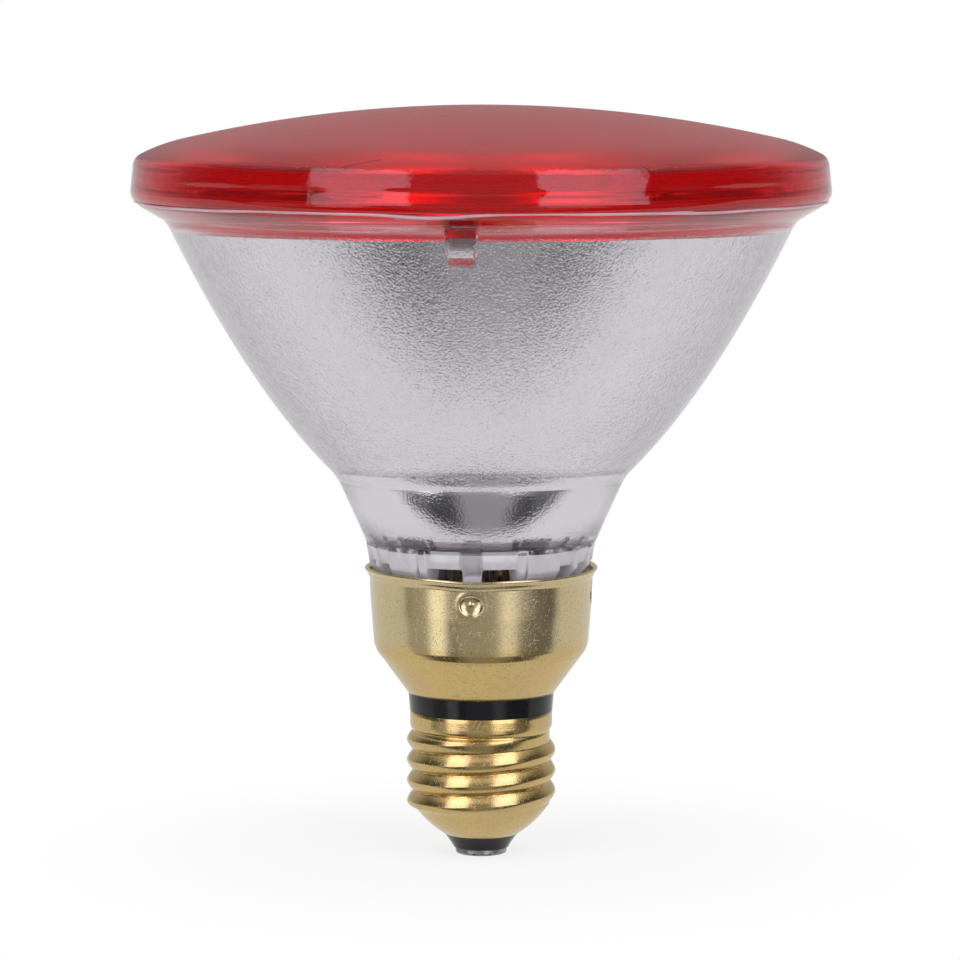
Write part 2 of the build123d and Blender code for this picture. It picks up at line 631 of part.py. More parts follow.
def bent_wire(points, bend_radius):
    """A round lead along straight runs joined by arcs."""
    with BuildPart() as wire:
        with BuildLine() as route:
            FilletPolyline(*points, radius=bend_radius)
        with BuildSketch(Plane(origin=route.line @ 0, z_dir=route.line % 0)):
            Circle(LEAD_RADIUS)
        sweep(path=route.line)
    return wire.part


with BuildPart() as shell_lead:
    add(bent_wire(
        [(-FERRULE_X, 0, LEAD_TOP_Z), (-FERRULE_X, 0, 42), (SHELL_LEAD_X, 0, 31),
         (SHELL_LEAD_X, 0, 20), (-10.6, 0, SHELL_JOINT_Z)],
        SHELL_LEAD_BEND,
    ))
finish_part(shell_lead, "shell_lead")

with BuildPart() as contact_lead_upper:
    add(bent_wire(
        [(FERRULE_X, 0, LEAD_TOP_Z), (FERRULE_X, 0, 44), (0, 0, 33), (0, 0, FUSE_TOP_Z)],
        CONTACT_LEAD_BEND,
    ))
finish_part(contact_lead_upper, "contact_lead_upper")

with BuildPart() as contact_lead_lower:
    with BuildSketch(Plane.XY.offset(CONTACT_HEIGHT)):
        Circle(LEAD_RADIUS)
    extrude(amount=FUSE_BOTTOM_Z - CONTACT_HEIGHT)
finish_part(contact_lead_lower, "contact_lead_lower")

with BuildPart() as fuse_link:
    with BuildSketch(Plane.XY.offset(FUSE_BOTTOM_Z)):
        Circle(FUSE_WIRE_RADIUS)
    extrude(amount=FUSE_TOP_Z - FUSE_BOTTOM_Z)
finish_part(fuse_link, "fuse_link")

with BuildPart() as fuse_capsule:
    with BuildSketch(Plane.XZ):
        with BuildLine():
            Polyline(
                (LEAD_RADIUS, CAPSULE_BOTTOM_Z), (CAPSULE_NECK_RADIUS, CAPSULE_BOTTOM_Z),
                (CAPSULE_RADIUS, FUSE_BOTTOM_Z - CAPSULE_CORNER),
                (CAPSULE_RADIUS, FUSE_TOP_Z + CAPSULE_CORNER),
                (CAPSULE_NECK_RADIUS, CAPSULE_TOP_Z), (LEAD_RADIUS, CAPSULE_TOP_Z),
                (LEAD_RADIUS, FUSE_TOP_Z), (CAPSULE_BORE_RADIUS, FUSE_TOP_Z),
                (CAPSULE_BORE_RADIUS, FUSE_BOTTOM_Z), (LEAD_RADIUS, FUSE_BOTTOM_Z),
                close=True,
            )
        make_face()
    revolve(axis=Axis.Z)
finish_part(fuse_capsule, "fuse_capsule")

with BuildPart() as shell_solder:
    with Locations((SHELL_JOINT_X, 0, SHELL_JOINT_Z)):
        Sphere(SOLDER_RADIUS)
    with BuildSketch(Plane.XY):
        Circle(SHELL_BORE_RADIUS)
    extrude(amount=COLLAR_TOP_Z, mode=Mode.INTERSECT)
    add(shell_lead.part, mode=Mode.SUBTRACT)
finish_part(shell_solder, "shell_solder")

for side_name, side in (("left", -1), ("right", 1)):
    with BuildPart() as lead_sleeve:
        with BuildSketch(Plane.XY.offset(SLEEVE_BOTTOM_Z)):
            with Locations((side * FERRULE_X, 0)):
                Circle(SLEEVE_RADIUS)
                Circle(LEAD_RADIUS, mode=Mode.SUBTRACT)
        extrude(amount=SLEEVE_TOP_Z - SLEEVE_BOTTOM_Z)
    finish_part(lead_sleeve, f"lead_sleeve_{side_name}")
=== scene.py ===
"""Looks for the infrared reflector heat lamp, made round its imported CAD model.

Blender's scene is in metres, in the CAD's frame: +Z up the lamp's axis, -Y the front. Outlines are
drawn in millimetres, as radius and height, and scaled when they are spun.
"""

import json
from math import atan2, cos, hypot, pi, radians, sin, sqrt

import bmesh
import bpy
import numpy as np
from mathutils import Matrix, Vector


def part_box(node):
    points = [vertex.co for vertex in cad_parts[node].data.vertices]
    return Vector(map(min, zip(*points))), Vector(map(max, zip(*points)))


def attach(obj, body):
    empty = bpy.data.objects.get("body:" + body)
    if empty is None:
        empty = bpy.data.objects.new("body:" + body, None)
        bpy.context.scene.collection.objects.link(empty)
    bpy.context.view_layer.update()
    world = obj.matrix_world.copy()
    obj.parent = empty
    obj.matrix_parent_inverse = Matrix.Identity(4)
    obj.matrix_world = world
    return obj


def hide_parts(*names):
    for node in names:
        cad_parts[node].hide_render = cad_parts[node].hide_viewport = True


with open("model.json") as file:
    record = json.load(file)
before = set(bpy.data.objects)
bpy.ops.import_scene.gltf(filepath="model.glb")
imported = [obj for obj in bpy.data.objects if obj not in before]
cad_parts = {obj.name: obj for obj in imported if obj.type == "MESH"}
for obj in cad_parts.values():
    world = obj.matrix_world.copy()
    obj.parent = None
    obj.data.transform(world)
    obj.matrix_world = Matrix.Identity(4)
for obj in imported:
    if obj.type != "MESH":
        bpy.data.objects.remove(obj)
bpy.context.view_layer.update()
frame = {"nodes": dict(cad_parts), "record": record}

MM = 0.001
LEVEL = 0.98  # a face whose normal's Z part is larger than this counts as level
scene = bpy.context.scene


# ---------------------------------------------------------------- sizes, from the frame


def span(node):
    """A round node's outer radius, lowest and highest points, in millimetres."""
    low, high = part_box(node)
    return high.y / MM, low.z / MM, high.z / MM


LENS_R, LENS_BOTTOM, LENS_TOP = span("lens")
FLANGE_R, LUG_BOTTOM, RIM_Z = span("reflector")
MIRROR_R, _, MIRROR_TOP = span("mirror_coating")
LIP_R, SKIRT_BOTTOM, LIP_Z = span("skirt")
CREST_R, SHELL_BOTTOM, COLLAR_TOP = span("screw_shell")

FRONT = -90.0
DIMPLE_AZIMUTH = FRONT - 5.0
TAB_AZIMUTH = FRONT - 3.4
WIDE_LUGS = (39.0, 141.0)
RIBS = (26.0, 61.0, 76.0, 104.0, 119.0, 154.0)
QUADRANTS = (0.0, 90.0, 180.0, 270.0)


# ---------------------------------------------------------------- outlines and lathed meshes


class Outline:
    """A pen that draws half of a lathed section, in millimetres."""

    def __init__(self, radius, height):
        self.points = [(radius, height)]
        self.heading = (1.0, 0.0)

    def line(self, radius, height, steps=1):
        """Straight run to a point."""
        start = self.points[-1]
        for step in range(1, steps + 1):
            share = step / steps
            self.points.append(
                (start[0] + share * (radius - start[0]), start[1] + share * (height - start[1]))
            )
        length = hypot(radius - start[0], height - start[1])
        self.heading = ((radius - start[0]) / length, (height - start[1]) / length)
        return self

    def bend(self, radius, height, steps=6):
        """Arc to a point that leaves along the pen's heading."""
        start = self.points[-1]
        chord = (radius - start[0], height - start[1])
        chord_angle = atan2(chord[1], chord[0])
        turn = 2 * (chord_angle - atan2(self.heading[1], self.heading[0]))
        turn = (turn + pi) % (2 * pi) - pi
        arc_radius = hypot(*chord) / (2 * sin(turn / 2))
        heading = chord_angle - turn / 2
        for step in range(1, steps + 1):
            swept = turn * step / steps
            reach = 2 * arc_radius * sin(swept / 2)
            angle = heading + swept / 2
            self.points.append((start[0] + reach * cos(angle), start[1] + reach * sin(angle)))
        self.heading = (cos(heading + turn), sin(heading + turn))
        return self

    def parabola(self, end_radius, four_f, vertex, steps):
        """Along r^2 = 4 f (z - vertex) to a radius."""
        start_radius = self.points[-1][0]
        for step in range(1, steps + 1):
            radius = start_radius + (end_radius - start_radius) * step / steps
            self.points.append((radius, vertex + radius**2 / four_f))
        direction = 1.0 if end_radius > start_radius else -1.0
        slope = 2 * end_radius / four_f
        self.heading = (direction / hypot(1, slope), direction * slope / hypot(1, slope))
        return self


def smoothstep(value, low, high):
    """0 below low and 1 above high, with a smooth rise between."""
    share = np.clip((value - low) / (high - low), 0.0, 1.0)
    return share * share * (3 - 2 * share)


def turned(azimuth, centre):
    """Azimuths as seen from a centre, from -180 to 180 degrees."""
    return (azimuth - centre + 180.0) % 360.0 - 180.0


def azimuth_grid(count, fine=(), fine_step=0.25):
    """Evenly spaced azimuths, with closer ones inside each (centre, half_width) stretch."""
    grid = [np.arange(count) * 360.0 / count]
    for centre, half_width in fine:
        steps = int(2 * half_width / fine_step)
        grid.append((centre + np.linspace(-half_width, half_width, steps + 1)) % 360.0)
    ordered = np.sort(np.concatenate(grid))
    return ordered[np.diff(ordered, prepend=-1.0) > fine_step * 0.3]


def mesh_object(name, vertices, faces, marks=None, sharp=50.0):
    """A smooth-shaded closed mesh that rides on the lamp, with float marks on its points."""
    mesh = bpy.data.meshes.new(name)
    mesh.from_pydata(vertices, [], faces)
    for mark, values in (marks or {}).items():
        mesh.attributes.new(mark, "FLOAT", "POINT").data.foreach_set("value", values)
    work = bmesh.new()
    work.from_mesh(mesh)
    bmesh.ops.remove_doubles(work, verts=work.verts, dist=1e-7)
    bmesh.ops.recalc_face_normals(work, faces=work.faces)
    work.to_mesh(mesh)
    work.free()
    mesh.shade_smooth()
    mesh.set_sharp_from_angle(angle=radians(sharp))
    made = bpy.data.objects.new(name, mesh)
    scene.collection.objects.link(made)
    return made


def repaint(piece, slot, wanted):
    """Give another material to the faces that wanted(face) picks."""
    piece.data.materials.append(materials[slot])
    for face in piece.data.polygons:
        if wanted(face):
            face.material_index = len(piece.data.materials) - 1


def fuse_faces(piece, low, high, inner, outer):
    """Let light pass straight through the level faces of a band, where two glasses are fused."""

    def in_band(face):
        x, y, z = face.center / MM
        return low < z < high and inner < hypot(x, y) < outer and abs(face.normal.z) > LEVEL

    repaint(piece, "fused_joint", in_band)


def lathe(name, outline, azimuths, reshape=None, mark=None, sharp=50.0):
    """Spin a closed outline round Z.

    reshape(azimuth, radius, height, index) returns the new radius and height of each point, and
    mark(azimuth, radius, height, index) returns named numbers that the materials read.
    """
    points = np.array(outline.points)
    azimuth, index = np.meshgrid(azimuths, np.arange(len(points)), indexing="ij")
    radius, height = points[index, 0], points[index, 1]
    marks = mark(azimuth, radius, height, index) if mark else {}
    if reshape:
        radius, height = reshape(azimuth, radius, height, index)
    angle = np.radians(azimuth)
    places = np.stack([radius * np.cos(angle), radius * np.sin(angle), height], -1) * MM
    turns, ring = azimuth.shape
    corner = np.arange(turns)[:, None] * ring + np.arange(ring)
    after = np.roll(corner, -1, axis=0)
    quads = np.stack(
        [corner, after, np.roll(after, -1, axis=1), np.roll(corner, -1, axis=1)], -1
    )
    flat_marks = {key: np.ascontiguousarray(value, float).ravel() for key, value in marks.items()}
    return mesh_object(
        name, places.reshape(-1, 3).tolist(), quads.reshape(-1, 4).tolist(), flat_marks, sharp
    )


# ---------------------------------------------------------------- shader graphs


class Graph:
    """Short calls that add nodes to a tree. Each returns its output socket."""

    def __init__(self, tree):
        self.tree = tree

    def feed(self, socket, value):
        """Link an output socket, or set a plain value."""
        if isinstance(value, bpy.types.NodeSocket):
            self.tree.links.new(value, socket)
        else:
            socket.default_value = value

    def math(self, operation, *values):
        """A Math node."""
        node = self.tree.nodes.new("ShaderNodeMath")
        node.operation = operation
        for socket, value in zip(node.inputs, values):
            self.feed(socket, value)
        return node.outputs[0]

    def smooth(self, value, low, high, start=0.0, end=1.0):
        """start below low and end above high, with a smooth change between."""
        node = self.tree.nodes.new("ShaderNodeMapRange")
        node.interpolation_type = "SMOOTHSTEP"
        for socket, setting in zip(node.inputs, (value, low, high, start, end)):
            self.feed(socket, setting)
        return node.outputs[0]

    def blend(self, factor, first, second):
        """One colour turning into another."""
        node = self.tree.nodes.new("ShaderNodeMix")
        node.data_type = "RGBA"
        self.feed(node.inputs[0], factor)
        self.feed(node.inputs[6], first)
        self.feed(node.inputs[7], second)
        return node.outputs[2]

    def split(self, vector):
        """A vector's three parts."""
        node = self.tree.nodes.new("ShaderNodeSeparateXYZ")
        self.feed(node.inputs[0], vector)
        return node.outputs


class Surface(Graph):
    """A Principled material with the procedural nodes that feed it."""

    def __init__(self, name, **constants):
        self.material = bpy.data.materials.new(name)
        self.material.use_nodes = True
        super().__init__(self.material.node_tree)
        self.shader = self.tree.nodes["Principled BSDF"]
        for key, value in constants.items():
            self.shader.inputs[key.replace("_", " ")].default_value = value
        self.place = self.tree.nodes.new("ShaderNodeTexCoord").outputs["Object"]

    def noise(self, size, detail=2.0, stretch=(1.0, 1.0, 1.0), distortion=0.0, lean=0.0):
        """Cloudy noise whose lumps are about size millimetres, divided by stretch on each axis.

        lean turns the pattern about the front-to-back axis, in degrees.
        """
        leaning = self.tree.nodes.new("ShaderNodeVectorRotate")
        leaning.rotation_type = "Y_AXIS"
        self.feed(leaning.inputs["Vector"], self.place)
        leaning.inputs["Angle"].default_value = radians(lean)
        scaled = self.tree.nodes.new("ShaderNodeVectorMath")
        scaled.operation = "MULTIPLY"
        self.feed(scaled.inputs[0], leaning.outputs[0])
        scaled.inputs[1].default_value = [part / (size * MM) for part in stretch]
        node = self.tree.nodes.new("ShaderNodeTexNoise")
        self.feed(node.inputs["Vector"], scaled.outputs[0])
        node.inputs["Scale"].default_value = 1.0
        node.inputs["Detail"].default_value = detail
        node.inputs["Distortion"].default_value = distortion
        return node.outputs[0]

    def marked(self, name):
        """A number that the mesh carries on its points."""
        node = self.tree.nodes.new("ShaderNodeAttribute")
        node.attribute_name = name
        return node.outputs["Fac"]

    def bump(self, height, depth, strength=1.0, after=None):
        """A normal from a height, whose full range stands depth millimetres."""
        node = self.tree.nodes.new("ShaderNodeBump")
        self.feed(node.inputs["Height"], height)
        self.feed(node.inputs["Distance"], depth * MM)
        self.feed(node.inputs["Strength"], strength)
        if after is not None:
            self.feed(node.inputs["Normal"], after)
        return node.outputs[0]

    def finish(self, colour, roughness, normal):
        """Connect the patterns to the shader."""
        self.feed(self.shader.inputs["Base Color"], colour)
        self.feed(self.shader.inputs["Roughness"], roughness)
        self.feed(self.shader.inputs["Normal"], normal)
        return self.material


# ---------------------------------------------------------------- materials


def red_glass():
    """Red pressed glass: polished wall with painted shade in a darker red, finely matt dome with handling
    marks and hair scratches.
    """
    surface = Surface("red_glass", Transmission_Weight=0.94, IOR=1.52)
    matt = surface.marked("matt")
    torn = surface.smooth(surface.noise(2.0, 4.0), 0.3, 0.7, -0.45, 0.45)
    torn = surface.smooth(surface.math("ADD", matt, torn), 0.4, 0.6)
    matt = surface.smooth(surface.marked("torn"), 0.0, 1.0, matt, torn)
    cloud = surface.noise(14.0, detail=3.0)
    colour = surface.blend(cloud, (0.86, 0.012, 0.02, 1), (0.92, 0.022, 0.032, 1))
    # painted shade: the polished wall and the inside get a darker red than the matt dome
    colour = surface.blend(matt, (0.79, 0.010, 0.018, 1), colour)
    hairs = surface.noise(11.0, 2.0, (1.0, 9.0, 0.5), 0.6)
    scratched = surface.math("MULTIPLY", surface.smooth(hairs, 0.69, 0.73), matt)
    colour = surface.blend(
        surface.math("MULTIPLY", scratched, 0.7), colour, (0.30, 0.004, 0.008, 1)
    )
    grain = surface.noise(0.35, detail=4.0)
    scuffs = surface.smooth(surface.noise(5.0, 6.0, (1.0, 4.0, 1.0), 1.5), 0.62, 0.72, 0.0, 0.1)
    dome_roughness = surface.math("ADD", 0.36, scuffs)
    wall_roughness = surface.smooth(surface.noise(2.5, 3.0), 0.3, 0.8, 0.01, 0.05)
    roughness = surface.math(
        "ADD",
        surface.math("MULTIPLY", matt, dome_roughness),
        surface.math("MULTIPLY", surface.math("SUBTRACT", 1.0, matt), wall_roughness),
    )
    ripple = surface.bump(surface.noise(7.0, 2.0, (1.0, 1.0, 2.0)), 0.04)
    ripple = surface.bump(surface.noise(2.6, 3.0, (1.0, 1.0, 1.4)), 0.03, 1.0, ripple)
    return surface.finish(colour, roughness, surface.bump(grain, 0.01, matt, ripple))


def clear_glass():
    """Clear pressed glass with a faint pebble on the bowl's outside, and painted shade darkening the tab's
    face.
    """
    surface = Surface("clear_glass", Transmission_Weight=1.0, IOR=1.5)
    colour = surface.blend(
        surface.noise(20.0), (0.945, 0.935, 0.955, 1), (0.975, 0.97, 0.98, 1)
    )
    # painted shade: the clear glass tab's face is painted a dark reddish grey, darkest towards its top
    colour = surface.blend(surface.marked("tab"), colour, (0.20, 0.165, 0.165, 1))
    pebble = surface.marked("pebble")
    roughness = surface.smooth(surface.noise(3.0, 3.0), 0.3, 0.8, 0.02, 0.06)
    flow = surface.bump(surface.noise(9.0, 1.0, (1.0, 1.0, 1.6)), 0.008)
    lumps = surface.bump(surface.noise(0.42, detail=2.0), 0.045, pebble, flow)
    return surface.finish(colour, roughness, lumps)


def moulded_glass():
    """The neck's foot and lugs, whose skin is whitish and slightly matt from the mould."""
    surface = Surface("moulded_glass", Transmission_Weight=0.42, IOR=1.5)
    streaks = surface.noise(1.6, 4.0, (1.0, 1.0, 0.5), 0.6)
    colour = surface.blend(
        surface.smooth(streaks, 0.38, 0.62), (0.92, 0.91, 0.925, 1), (0.99, 0.985, 0.99, 1)
    )
    roughness = surface.smooth(surface.noise(0.9, 3.0), 0.3, 0.7, 0.04, 0.16)
    return surface.finish(colour, roughness, surface.bump(streaks, 0.06))


def seal_glass():
    """The fused joint's bead: paler, slightly milky glass."""
    surface = Surface("seal_glass", Transmission_Weight=0.5, IOR=1.5)
    colour = surface.blend(
        surface.noise(4.0, 3.0), (0.84, 0.56, 0.61, 1), (0.95, 0.87, 0.92, 1)
    )
    roughness = surface.smooth(surface.noise(1.0, 3.0), 0.3, 0.7, 0.05, 0.2)
    return surface.finish(colour, roughness, surface.bump(surface.noise(1.5), 0.06))


def fused_joint():
    """Where two glasses are melted together there is no surface for light to meet."""
    return Surface("fused_joint", Alpha=0.0, IOR=1.0).material


def mirror_film():
    """Evaporated aluminium on pebbled glass, a little cloudy."""
    surface = Surface("mirror_film", Metallic=1.0)
    colour = surface.blend(
        surface.noise(9.0, 4.0), (0.755, 0.73, 0.77, 1), (0.84, 0.82, 0.855, 1)
    )
    height = surface.split(surface.place)[2]
    on_bowl = surface.smooth(height, 67.2 * MM, 70.0 * MM)
    clouds = surface.smooth(surface.noise(3.0, 4.0), 0.3, 0.75, 0.7, 1.3)
    roughness = surface.math("MULTIPLY", clouds, surface.smooth(on_bowl, 0.0, 1.0, 0.05, 0.12))
    pebble = surface.bump(surface.noise(0.4, 2.0), 0.05, surface.smooth(on_bowl, 0.0, 1.0, 0.6, 1.0))
    waves = surface.bump(surface.noise(1.8, 2.0), 0.01, on_bowl, pebble)
    return surface.finish(colour, roughness, waves)


def brass_sheet():
    """Drawn brass: paler on the skirt's side, with a fine grain, spinning marks and scratches."""
    surface = Surface("brass_sheet", Metallic=1.0)
    tarnish = surface.smooth(surface.noise(11.0, 3.0, distortion=0.4), 0.35, 0.7)
    speckle = surface.noise(0.32, 3.0)
    warm = surface.blend(tarnish, (0.64, 0.465, 0.185, 1), (0.59, 0.435, 0.19, 1))
    pale = surface.blend(tarnish, (0.64, 0.525, 0.295, 1), (0.595, 0.495, 0.29, 1))
    height = surface.split(surface.place)[2]
    base = surface.blend(surface.smooth(height, 36.5 * MM, 39.5 * MM), warm, pale)
    colour = surface.blend(surface.smooth(speckle, 0.3, 0.46, 0.5, 0.0), base, (0.34, 0.27, 0.14, 1))
    scratches = None
    for lean in (12.0, -28.0, 64.0, -75.0):
        threads = surface.noise(2.4, 1.0, (1.0, 6.0, 18.0), 0.15, lean)
        line = surface.smooth(threads, 0.70, 0.76)
        scratches = line if scratches is None else surface.math("MAXIMUM", scratches, line)
    roughness = surface.math(
        "ADD",
        surface.smooth(speckle, 0.3, 0.7, 0.24, 0.16),
        surface.math("MULTIPLY", scratches, 0.12),
    )
    normal = surface.bump(surface.noise(6.0, 3.0, (1.0, 1.0, 24.0)), 0.006)
    normal = surface.bump(speckle, 0.010, 1.0, normal)
    return surface.finish(colour, roughness, surface.bump(scratches, 0.008, 1.0, normal))


def black_glass():
    """Black insulating glass, glossy with faint flow marks."""
    surface = Surface("black_glass", IOR=1.38)
    flow = surface.noise(4.0, 4.0, (1.0, 1.0, 5.0), 1.0)
    colour = surface.blend(flow, (0.003, 0.003, 0.004, 1), (0.010, 0.010, 0.011, 1))
    roughness = surface.smooth(surface.noise(0.8, 4.0), 0.35, 0.7, 0.08, 0.2)
    return surface.finish(colour, roughness, surface.bump(flow, 0.03))


def grey_metal(name, dark, light, roughness_range, lump, depth):
    """Plain metal with a mottled tone, worn patches and a fine bump."""
    surface = Surface(name, Metallic=1.0)
    mottle = surface.noise(lump, 5.0, distortion=0.4)
    colour = surface.blend(surface.smooth(mottle, 0.35, 0.65), dark, light)
    roughness = surface.smooth(surface.noise(lump * 0.4, 4.0), 0.3, 0.7, *roughness_range)
    return surface.finish(colour, roughness, surface.bump(mottle, depth))


FIBRE_PITCH = 0.5 * MM


def glass_fibre():
    """Braided sleeve: two sets of crossing threads."""
    surface = Surface("glass_fibre", IOR=1.45)
    x, _, z = surface.split(surface.place)
    threads = []
    for lean in (1.0, -1.0):
        run = surface.math("ADD", surface.math("MULTIPLY", x, lean), z)
        threads.append(surface.math("SINE", surface.math("MULTIPLY", run, 2 * pi / FIBRE_PITCH)))
    braid = surface.math("MULTIPLY", *threads)
    colour = surface.blend(
        surface.smooth(braid, -0.6, 0.6), (0.58, 0.55, 0.47, 1), (0.86, 0.84, 0.78, 1)
    )
    roughness = surface.smooth(surface.noise(0.3), 0.3, 0.7, 0.65, 0.9)
    return surface.finish(colour, roughness, surface.bump(braid, 0.05))


materials = {
    "red_glass": red_glass(),
    "clear_glass": clear_glass(),
    "moulded_glass": moulded_glass(),
    "seal_glass": seal_glass(),
    "fused_joint": fused_joint(),
    "mirror_film": mirror_film(),
    "brass_sheet": brass_sheet(),
    "black_glass": black_glass(),
    "contact_metal": grey_metal(
        "contact_metal", (0.20, 0.19, 0.175, 1), (0.36, 0.35, 0.33, 1), (0.22, 0.5), 1.4, 0.03
    ),
    "solder": grey_metal(
        "solder", (0.4, 0.41, 0.42, 1), (0.66, 0.67, 0.68, 1), (0.25, 0.55), 0.8, 0.08
    ),
    "nickel_iron": grey_metal(
        "nickel_iron", (0.38, 0.36, 0.33, 1), (0.6, 0.58, 0.54, 1), (0.2, 0.45), 1.2, 0.02
    ),
    "tungsten": grey_metal(
        "tungsten", (0.14, 0.14, 0.16, 1), (0.3, 0.3, 0.33, 1), (0.3, 0.5), 0.3, 0.01
    ),
    "copper_lead": grey_metal(
        "copper_lead", (0.45, 0.21, 0.12, 1), (0.85, 0.5, 0.34, 1), (0.2, 0.45), 0.9, 0.02
    ),
    "glass_fibre": glass_fibre(),
}

for part in frame["record"]["subparts"]:
    frame["nodes"][part["node"]].material_slots[0].material = materials[part["material_slot"]]


def place_piece(piece, slot, *nodes):
    """Give a piece its material, fix it to the lamp and hide the CAD nodes it stands for."""
    piece.data.materials.append(materials[slot])
    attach(piece, "root")
    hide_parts(*nodes)


# ---------------------------------------------------------------- lens

DOME_R = 235.0
LENS_THICKNESS = 3.5
SEAT_R = LENS_R - 7.6
GROOVE_Z = LENS_BOTTOM + 3.4
GROOVE_DEPTH = 0.24
DOME_STEPS = 40
SHOULDER_STEPS = 14
WALL_STEPS = 30
SHOULDER_END = DOME_STEPS + 2 * SHOULDER_STEPS
WALL_END = SHOULDER_END + WALL_STEPS + 2
TORN_AZIMUTHS = (FRONT - 20.0, FRONT + 18.3)
DOME_EDGE_R = 52.0
DOME_EDGE_Z = LENS_TOP - DOME_R + sqrt(DOME_R**2 - DOME_EDGE_R**2)
INNER_TOP_Z = LENS_TOP - LENS_THICKNESS
INNER_DOME_R = DOME_R - LENS_THICKNESS
INNER_EDGE_R = 51.0
INNER_EDGE_Z = INNER_TOP_Z - INNER_DOME_R + sqrt(INNER_DOME_R**2 - INNER_EDGE_R**2)


def lens_outline():
    """Dome, rounded shoulder, near-upright wall, seat, and the inside with its pressing rings."""
    pen = Outline(0.0, LENS_TOP)
    pen.bend(DOME_EDGE_R, DOME_EDGE_Z, DOME_STEPS)
    pen.bend(LENS_R - 1.8, LENS_TOP - 8.35, SHOULDER_STEPS)
    pen.bend(LENS_R - 0.45, LENS_TOP - 10.15, SHOULDER_STEPS)
    pen.line(LENS_R, LENS_BOTTOM + 1.6, WALL_STEPS)
    pen.bend(LENS_R - 0.5, LENS_BOTTOM, 6)
    pen.line(FLANGE_R - 0.1, LENS_BOTTOM)
    pen.line(SEAT_R, LENS_BOTTOM, 3)
    for ring in range(3):
        pen.line(SEAT_R - 0.02 - 0.1 * ring, LENS_BOTTOM + 0.5 + 1.25 * ring, 3)
        pen.line(SEAT_R - 0.2 - 0.1 * ring, LENS_BOTTOM + 1.25 + 1.25 * ring, 2)
    pen.line(SEAT_R - 0.8, LENS_BOTTOM + 5.7, 3)
    pen.line(INNER_EDGE_R, INNER_EDGE_Z, 5)
    pen.heading = (-cos(INNER_EDGE_R / INNER_DOME_R), sin(INNER_EDGE_R / INNER_DOME_R))
    pen.bend(0.0, INNER_TOP_Z, DOME_STEPS)
    return pen


def lens_marks(azimuth, radius, height, index):
    """The dome's outside is matt down to where the shoulder turns, with a torn edge in two places."""
    outside = index <= SHOULDER_END
    matt = outside * smoothstep(height, LENS_TOP - 9.6, LENS_TOP - 8.6)
    from_patch = np.minimum(*(np.abs(turned(azimuth, centre)) for centre in TORN_AZIMUTHS))
    return {"matt": matt, "torn": smoothstep(-from_patch, -12.5, -9.5)}


def lens_waver(azimuth, radius, height, index):
    """Pressed glass is never quite true: the dome and the shoulder waver by a tenth or two."""
    angle = np.radians(azimuth)
    share = np.clip(radius / LENS_R, 0.0, 1.0)
    swell = 0.10 * np.sin(2 * angle + 0.7) + 0.06 * np.sin(5 * angle)
    upper = smoothstep(height, LENS_BOTTOM + 2.0, LENS_BOTTOM + 7.0)
    # a shallow pressing groove round the wall, which fades out at two places on the front
    smooth_left = np.exp(-((turned(azimuth, FRONT - 19.5) / 5.0) ** 4))
    smooth_right = np.exp(-((turned(azimuth, FRONT + 18.5) / 11.0) ** 8))
    in_front = np.exp(-((turned(azimuth, FRONT) / 50.0) ** 6))
    groove = np.exp(-(((height - GROOVE_Z) / 0.55) ** 2)) * (1 - smooth_left) * (1 - smooth_right)
    wall = (radius > LENS_R - 1.0) * (index <= WALL_END)
    wave = 0.02 * np.sin(3.1 * height + 2 * np.sin(angle * 3))
    inward = wall * (GROOVE_DEPTH * groove * in_front + 0.3 * wave * (1 - smooth_right))
    return radius - inward, height + (swell - 0.1) * share**2 * upper


lens = lathe("lens_glass", lens_outline(), azimuth_grid(288), lens_waver, lens_marks)
place_piece(lens, "red_glass", "lens")
fuse_faces(lens, LENS_BOTTOM - 0.05, LENS_BOTTOM + 0.05, SEAT_R, FLANGE_R - 0.1)

# ---------------------------------------------------------------- reflector glass

BOWL_OUTER_4F = 52.8
BOWL_OUTER_VERTEX = 54.9
BOWL_INNER_4F = 49.8
FILM_COVER = 0.15
NECK_FLOOR = LUG_BOTTOM + 7.9
FOOT_Z = NECK_FLOOR - 1.3
FLOOR_STEPS = 6
RIDGE_R = 25.75
BOWL_TOP_R = 54.1
TAB_TOP = RIM_Z - 1.9
TAB_BOTTOM = RIM_Z - 8.6
TAB_FACE_R = 56.3
TAB_BEVEL = 1.7
TAB_FOOT_HALF_WIDTH = 2.1
TAB_SPREAD = 0.6
TAB_MIDDLE_R = 54.5
LUG_WIDTH = 6.4
RIB_WIDTH = 1.5
LUG_MIDDLE_R = 18.8
NIB_MIDDLE_R = 17.0
# how far the meshes' closer azimuths lie from each centre line, in degrees
LUG_HALF_ANGLE = 9.75
RIB_HALF_ANGLE = 2.3
NIB_HALF_ANGLE = 5.4
TAB_HALF_ANGLE = 2.5
BEVEL_TOP_R = 23.7
HEEL_TOP = (22.1, MIRROR_TOP - 43.8)
HEEL_WALL_R = 48.0
HEEL_TOP_DIP = 16.5
HEEL_FOOT_DIP = 30.0
HEEL_CORNER = 1.6
BOWL_INNER_VERTEX = MIRROR_TOP - MIRROR_R**2 / BOWL_INNER_4F + FILM_COVER


def bowl_radius(height):
    """Radius of the bowl's outside at a height."""
    return sqrt(BOWL_OUTER_4F * (height - BOWL_OUTER_VERTEX))


def bowl_radii(heights):
    """As bowl_radius, for an array of heights, with 0 below the bowl's vertex."""
    return np.sqrt(np.clip(BOWL_OUTER_4F * (heights - BOWL_OUTER_VERTEX), 0, None))


def lug_legs(*legs):
    """Points of the stretch under the neck, which lugs, nibs and bare floor all share."""
    points = []
    for steps, start, end in legs:
        for step in range(steps):
            share = step / steps
            points.append(tuple(a + share * (b - a) for a, b in zip(start, end)))
    points.append(legs[-1][2])
    return np.array(points)


